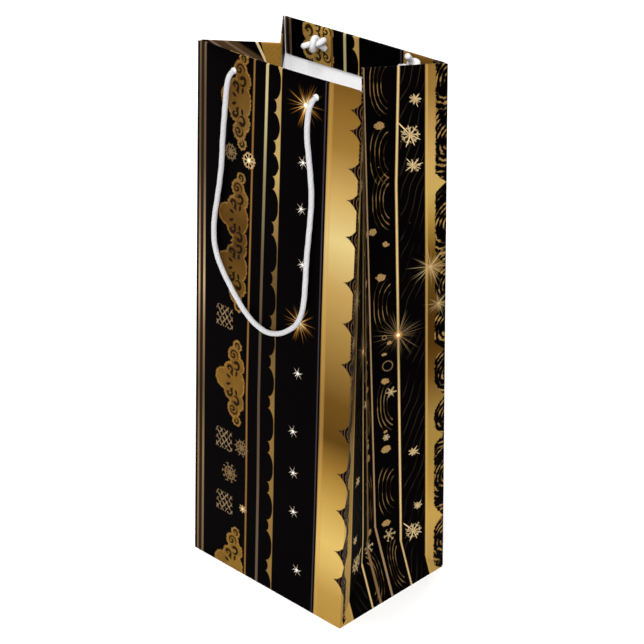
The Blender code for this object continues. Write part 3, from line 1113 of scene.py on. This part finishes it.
def lay_small_motifs(inks, x, down):
    """Snowflakes and lattices between the clusters."""
    places = ((26.9, 59.7, 5.4), (24.8, 166, 0), (41, 250, 5.8), (30.6, 271.8, 6.4))
    px, py, size = nearest(x, down, places)
    inks.lay((108, 87, 58), snowflake(px, py, size.most(0.01), 10), 0.4)
    px, py, size = nearest(x, down, ((42.7, 60.9, 5.4), (25.3, 166, 0), (42.7, 292.8, 3.0)))
    inks.lay((178, 148, 104), snowflake(px, py, size.most(0.01), 8), 0.4)
    inks.lay((232, 214, 180), inside(length(px, py) - size * 0.22, 0.6) * (size / 3).clamp())
    px, py, size = nearest(x, down, ((24.8, 60, 0), (24.8, 166, 7), (25.3, 249.7, 7), (26, 294.3, 7)))
    inks.lay((128, 106, 76), lattice(px, py, size), 0.4)


def lay_scallops(inks, x, down):
    """A gold line whose left edge is cut into a small and a large scallop in turn."""
    _, from_pair, _ = nearest(x, down, in_column(SCALLOPS))
    step = from_pair.size()
    small = (step / 3.9).power(2.0).above(1.0).most(0.0).use("SQRT") * 2.2
    large = ((step - 13.65) / 9.75).power(2.0).above(1.0).most(0.0).use("SQRT") * 5.2
    edge = large.most(small) + 63.8
    scallop = inside(edge - x, 0.35) * inside(x - 69.4)
    line = band(x, *SCALLOP_LINE, 0.4) * 0.7
    inks.lay(ramp(down, SCALLOP_DOWN), scallop.most(line), 0.6)


def lay_star_band(inks, x, down):
    """White stars and two fireworks on the black band."""
    px, py, size = nearest(x, down, FACE_STARS)
    size = size.most(0.01)
    inks.lay((255, 252, 246), star(px, py, size * 0.85, 8, 18.0, 0.4, 0.24, 0.5))
    inks.lay((190, 166, 132), star(px, py, size * 1.2, 6, 40.0, 1.0, 0.1) * 0.6)
    px, py, size = nearest(x, down, ((87.5, 16.8, 11.5), (88.5, 148.8, 10.5)))
    heat = (length(px, py) / size).above(1.0).clamp()
    outer, inner = solid(inks.tree, (170, 112, 40)), solid(inks.tree, (252, 214, 140))
    flame = paint(outer, inner, (heat * 2.2 - 0.9).clamp())
    inks.lay(flame, burst(px, py, size * 1.05, 8.0, 1.0))
    inks.lay((255, 246, 230), inside(length(px, py) - size * 0.11, 1.0))


def lay_thorns(inks, x, down, ragged, place=None):
    """Dark thorns that straddle the front right corner, their points on the front face."""
    _, from_thorn, _ = nearest(x, down, in_column(THORNS))
    share = ((x - 121.2) / 8.4).most(0.0)
    thorn = inside(from_thorn.size() - share.power(1.9) * 5.6 + ragged, 0.4)
    thorn = thorn * inside(x.above(121.6))
    thorn = thorn.most(inside(x.above(129.0)) * inside(down - 165, 20.0))
    if place is not None:
        thorn = thorn * place
    inks.lay(BLACK, thorn)
    veins = stripes(length(x - 134.0, from_thorn), 2.1, 0.22)
    inks.lay((104, 76, 50), thorn * veins * inside(x.above(124.4)) * 0.8, 0.3)


def gusset_print(tree):
    """The right gusset's print, mirrored about its centre crease."""
    x, down = print_place(tree)
    from_crease = x - (WIDTH + HALF_DEPTH) * MM
    out = from_crease.size()
    inks = Inks(tree)
    lay_gusset(inks, out, down)

    # A second brown line on the front half, and the front face's gold and thorns round the corner
    inks.lay((112, 86, 56), band(from_crease, -11.6, -9.6, 0.6), 0.4)
    corner = inside(x - (WIDTH * MM + 3.6)) * ((down - 165) / 30).clamp()
    inks.lay(ramp(down, GOLD_DOWN), corner, 1.0)
    lay_thorns(inks, x, down, noise(out, down, 0.6, 3.0, 2.0), corner)
    return inks


def left_gusset_print(tree):
    """The left gusset's print: the same bands, with the gold stripe nearer its centre crease."""
    x, down = print_place(tree)
    from_crease = (x - (WIDTH + HALF_DEPTH) * MM).size()
    inks = Inks(tree)
    lay_gusset(inks, (from_crease - LEFT_MIRROR).size(), down, edging=45.0)

    # The turned-in top has leaning brown bands, a cream line and a gold patch with dark strokes
    hem = inside(down + 0.2)
    ragged = noise(x, down, 0.5, 3.0, 4.0)
    inks.lay(BLACK, hem)
    lean = from_crease - down * 1.6
    inks.lay((66, 49, 30), hem * band(lean, 26.0, 42.0, 3.0))
    inks.lay((122, 98, 84), hem * band(lean, 40.5, 42.5, 0.6), 0.3)
    inks.lay((104, 82, 64), hem * band(lean, 31.5, 34.0, 0.6), 0.3)
    inks.lay((204, 182, 138), hem * band(from_crease - down * 0.5, 13.2, 14.8), 0.5)
    inks.lay((146, 108, 44), hem * inside(from_crease - down * 0.3 - 11.5), 1.0)
    strokes = stripes(from_crease + down * 0.9 + ragged * 6.0, 3.1, 0.1)
    inks.lay((62, 40, 14), hem * strokes * inside(from_crease - 9.5) * (ragged * 6.0 + 0.6).clamp())
    return inks


def lay_gusset(inks, out, down, edging=BLACK_EDGING):
    """The gusset's bands, from the line where out is 0. The black edging starts at edging."""
    ragged = noise(out, down, 0.6, 3.0, 2.0)
    lay_arc_band(inks, out, down, ragged)
    inks.lay((136, 110, 80), inside(out - 0.85), 0.5)
    from_line = out - BRIGHT_LINE - (down / -70 + 1.0).clamp() * 2.2
    line_colours = (116, 88, 48), (202, 176, 124), (116, 90, 50)
    lay_line(inks, from_line, -0.85, 0.85, line_colours, 0.6)
    inks.lay(BLACK, inside(from_line.size() - 1.4) * band(down, 150, 195, 40.0) * 0.4)
    lay_feather_band(inks, out, down, ragged)
    lay_gold_band(inks, out, down, ragged, edging)

    # Fireworks on the gold and on the bright line
    px, py, size = nearest(out, down, ((38.5, 124.6, 10), (43.7, 149.6, 6.5)))
    inks.lay((214, 186, 132), burst(px, py, size * 1.3, 9.0, 3.0) * 0.55)
    px, py = out - BRIGHT_LINE, down - 166.0
    inks.lay((160, 130, 88), burst(px, py, 14.0, 12.0, 5.0) * 0.45)
    inks.lay((214, 150, 80), length(px, py).use("MULTIPLY_ADD", -0.3, 1.0, clamp=True) * 0.8)
    inks.lay((255, 232, 190), inside(length(px, py) - 0.9, 0.8))


def lay_arc_band(inks, out, down, ragged):
    """Two sets of worn nested arcs beside the crease, and leaves, flakes and rings between them."""
    worn = (noise(out, down, 0.11, 2.0, 8.0) * 6.0 + 0.5).clamp()
    for first, pitch in ((0, 2.1), (1, 2.6)):
        px, py, _ = nearest(out, down, [(17.5, place, 1) for place in ARCS[first::2]])
        reach = length(px + py.size() * 0.06, py * 0.62 + ragged * 0.7)
        arc = stripes(reach, pitch, worn * 0.16 + 0.06, 0.3) * band(reach, 6.5, 15.0, 1.2)
        arc = arc * inside(py.size() - 15.5, 5.0) * band(out, 2.0, 13.6, 0.5)
        inks.lay((122, 96, 58), arc * (worn * 0.7 + 0.2), 0.4)
    px, py, size = nearest(out, down, ARC_LEAVES)
    leaf = inside(length(px * 0.9, py * 1.15) - size * 0.72 + ragged * 2.6, 0.4)
    inks.lay(PALE_LEAF, leaf, 0.4)
    inks.lay((60, 42, 24), leaf * stripes(length(px + 2.5, py * 1.5), 1.5, 0.2) * 0.75)
    px, py, size = nearest(out, down, ARC_FLAKES)
    inks.lay((168, 146, 108), snowflake(px, py, size.most(0.01), 6) * 0.85)
    px, py, size = nearest(out, down, ARC_RINGS)
    ring = inside((length(px, py) - size).size() - 0.3, 0.5) * (size / 1.2).clamp()
    inks.lay((116, 94, 62), ring * 0.8)


def lay_feather_band(inks, out, down, ragged):
    """Faint sweeping lines with snow stars on them."""
    sweep = down * 0.075 + (out - 14.0).most(0.1).power(1.25) * 0.085
    sweep = sweep + noise(out, down, 0.03, 1.0, 5.0) * 2.5
    feather = ((sweep + ragged * 0.08).use("FRACT") - 0.5).size()
    patchy = (noise(out, down, 0.05, 1.0, 7.0) * 5.0 + 0.7).clamp()
    feather = inside(feather * 5.0 - 0.20, 0.4) * patchy * band(out, 20.4, 34.8, 1.0)
    inks.lay((40, 33, 24), feather)
    px, py, size = nearest(out, down, GUSSET_STARS)
    seen = (size / 2.5).clamp()
    size = size.most(0.01)
    inks.lay(CREAM, star(px, py, size * 1.2, 9, 18.0, 0.9, 0.10, 0.9) * seen)
    inks.lay(CREAM, snowflake(px, py, size * 0.85, 7) * 0.7)
    inks.lay((112, 86, 50), star(px, py, size * 0.5, 5, 1.5, 0.2, 0.1, 0.8) * seen * 0.6)


def lay_gold_band(inks, out, down, ragged, edging):
    """A gold stripe, and beyond it a black edging of ragged feathers with gold strokes."""
    _, py, width = nearest(out, down, [(0, place, width) for place, width in DIPS])
    dip = (py.size() / width).above(1.0).clamp()
    fringe = noise(out * 0.35, down, 1.5, 1.0, 11.0)
    edge = dip.power(1.4) * 6.5 + ragged * 2.2 + fringe * 1.6 + edging
    inks.lay(ramp(down, GUSSET_GOLD_DOWN), band(out, GUSSET_GOLD_EDGE, 49.0), 1.0)
    glint = ramp(out, ((GUSSET_GOLD_EDGE, (106, 78, 34)), (36.0, (190, 154, 90)), (37.3, (160, 122, 62))))
    inks.lay(glint, band(out, GUSSET_GOLD_EDGE, 36.9) * 0.5, 1.0)
    beyond = inside(edge - out, 0.4)
    inks.lay(BLACK, beyond)
    px, py, _ = nearest(out, down, [(50.0, place, 1) for place in FEATHERS])
    reach = length(px + py * 0.25, py * 0.66 + ragged * 2.4)
    bright = (noise(out, down, 0.16, 2.0, 13.0) * 6.0 + 0.4).clamp()
    inks.lay((136, 106, 58), beyond * stripes(reach, 2.3, bright * 0.42 + 0.05, 0.35) * bright, 0.5)


def new_material(name):
    material = bpy.data.materials.new(name)
    material.use_nodes = True
    return material, material.node_tree, material.node_tree.nodes["Principled BSDF"]


def set_inputs(node, values):
    for name, value in values.items():
        node.inputs[name].default_value = value


def add_bump(shader, height, strength, distance):
    tree = height.tree
    bump = tree.nodes.new("ShaderNodeBump")
    set_inputs(bump, {"Strength": strength, "Distance": distance})
    tree.links.new(height.socket, bump.inputs["Height"])
    tree.links.new(bump.outputs[0], shader.inputs["Normal"])


def printed_material(name, design):
    """Laminated art paper: ink colours under a thin satin film, gold a little metallic."""
    material, tree, shader = new_material(name)
    inks = design(tree)
    tree.links.new(inks.colour, shader.inputs["Base Color"])
    tree.links.new((inks.metal * 0.35).socket, shader.inputs["Metallic"])
    specks = grain(tree, 900.0, 3.0)
    tree.links.new((specks * 0.16 + 0.32).socket, shader.inputs["Roughness"])
    add_bump(shader, specks, 0.05, 0.0002)
    shader.inputs["Specular IOR Level"].default_value = 0.006
    return material


def paper_material(name, colour, grain_scale, roughness, glow=0.0):
    """Bare paper or board with fibres. glow is an even emission that makes it brighter than the lamps
    alone.
    """
    material, tree, shader = new_material(name)
    fibres = grain(tree, grain_scale, 6.0, 0.7)
    dark = [value * 0.93 for value in colour]
    shade = paint(solid(tree, dark), solid(tree, colour), (fibres * 2.0 - 0.5).clamp())
    tree.links.new(shade, shader.inputs["Base Color"])
    tree.links.new((fibres * 0.2 + roughness).socket, shader.inputs["Roughness"])
    add_bump(shader, fibres, 0.12, 0.0003)
    white = (1, 1, 1, 1)
    set_inputs(shader, {"Specular IOR Level": 0.25, "Emission Color": white, "Emission Strength": glow})
    return material


def build_bag():
    # The inside paper glows a little: painted light that brightens the inside of the bag where the lamps
    # leave it in shade
    inner = paper_material("white_paper_inside", (248, 248, 249), 900.0, 0.6, glow=0.05)
    core = paper_material("cut_paper_edge", (226, 224, 218), 2600.0, 0.8)
    card = paper_material("grey_board", (196, 192, 182), 700.0, 0.75)
    sheet = (printed_material("face_print", face_print), inner, core)
    gussets = {
        "right": (printed_material("right_gusset_print", gusset_print), inner, core),
        "left": (printed_material("left_gusset_print", left_gusset_print), inner, core),
    }
    for end_name, end in ENDS:
        panel = make_panel(end_name + "_sheet", end, sheet)
        cut_holes(panel, end, core)
        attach(panel, end_name)
        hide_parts(end_name + "_panel", end_name + "_turn_in")
    for side_name, side in SIDES:
        for end_name, end in ENDS:
            half = make_gusset_half(f"{side_name}_gusset_{end_name}_sheet", side, end, gussets[side_name])
            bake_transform(half)
            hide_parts(f"{side_name}_gusset_{end_name}_half", f"{side_name}_gusset_{end_name}_turn_in")
        triangle = make_triangle(side_name + "_triangle_sheet", side, gussets[side_name])
        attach(triangle, side_name + "_triangle")
        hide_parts(side_name + "_gusset_triangle")
        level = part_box(side_name + "_bottom_flap")[0].z + PAPER / 2
        flap = make_side_flap(side_name + "_flap_sheet", side, level, gussets[side_name])
        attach(flap, "base")
        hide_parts(side_name + "_bottom_flap")
    for end_name, end in ENDS:
        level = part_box(end_name + "_bottom_flap")[0].z + PAPER / 2
        flap = make_bottom_flap(end_name + "_flap_sheet", end, level, BOTTOM_FLAP_REACH, sheet)
        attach(flap, "base")
        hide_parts(end_name + "_bottom_flap")
    for end_name, _ in ENDS:
        for slot in bpy.data.objects[end_name + "_reinforcement_card"].material_slots:
            slot.material = card
    base = make_base_card("base_board", (card, card, card))
    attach(base, "base")
    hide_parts("base_card")
    seam = make_seam_flap("seam_sheet", (inner, inner, core))
    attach(seam, "rear")
    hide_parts("glue_seam_flap")


def view_from(azimuth, elevation):
    """The direction towards a viewer or a light. Azimuth 0 is in front and 90 is at the right."""
    azimuth, elevation = math.radians(azimuth), math.radians(elevation)
    level = math.cos(elevation)
    return Vector((math.sin(azimuth) * level, -math.cos(azimuth) * level, math.sin(elevation)))


def aim(thing, target, towards, distance, roll=0.0):
    """Stand a lamp or a camera at a distance from the target, looking at it."""
    turn = (-towards).to_track_quat("-Z", "Y").to_matrix().to_4x4() @ Matrix.Rotation(roll, 4, "Z")
    thing.matrix_world = Matrix.Translation(target + distance * towards) @ turn


def soft_light(name, azimuth, elevation, size, power, distance=4.0):
    data = bpy.data.lights.new(name, "AREA")
    data.shape = "DISK"
    data.size = size
    data.energy = power
    lamp = add_to_scene(name, data)
    aim(lamp, Vector((0, 0, 0.2)), view_from(azimuth, elevation), distance)


def make_stage():
    bpy.ops.mesh.primitive_plane_add(size=9.0, location=(0, 0, 0))
    floor = bpy.context.object
    floor.name = "floor"
    floor.data.materials.append(paper_material("pale_floor", (250, 250, 250), 3.0, 0.8, glow=0.07))
    world = bpy.data.worlds.new("studio")
    bpy.context.scene.world = world
    world.use_nodes = True
    set_inputs(world.node_tree.nodes["Background"], {"Color": (1, 1, 1, 1), "Strength": 0.42})
    soft_light("key", azimuth=41, elevation=43, size=2.6, power=190.0)
    soft_light("fill", azimuth=-40, elevation=35, size=3.0, power=24.0)
    soft_light("back", azimuth=215, elevation=40, size=3.0, power=90.0)


def make_camera():
    """The camera stands to the right of the front and looks down on the bag."""
    data = bpy.data.cameras.new("camera")
    data.sensor_width = 36.0
    data.lens = 104.2
    camera = add_to_scene("camera", data)
    target = Vector((0.0023, 0.0, 0.1697))
    towards = view_from(azimuth=43.9, elevation=26.08)
    aim(camera, target, towards, distance=1.1306, roll=math.radians(0.37))
    bpy.context.scene.camera = camera


make_camera()
make_handles()
build_bag()
make_stage()
bpy.context.scene.view_settings.view_transform = "Standard"
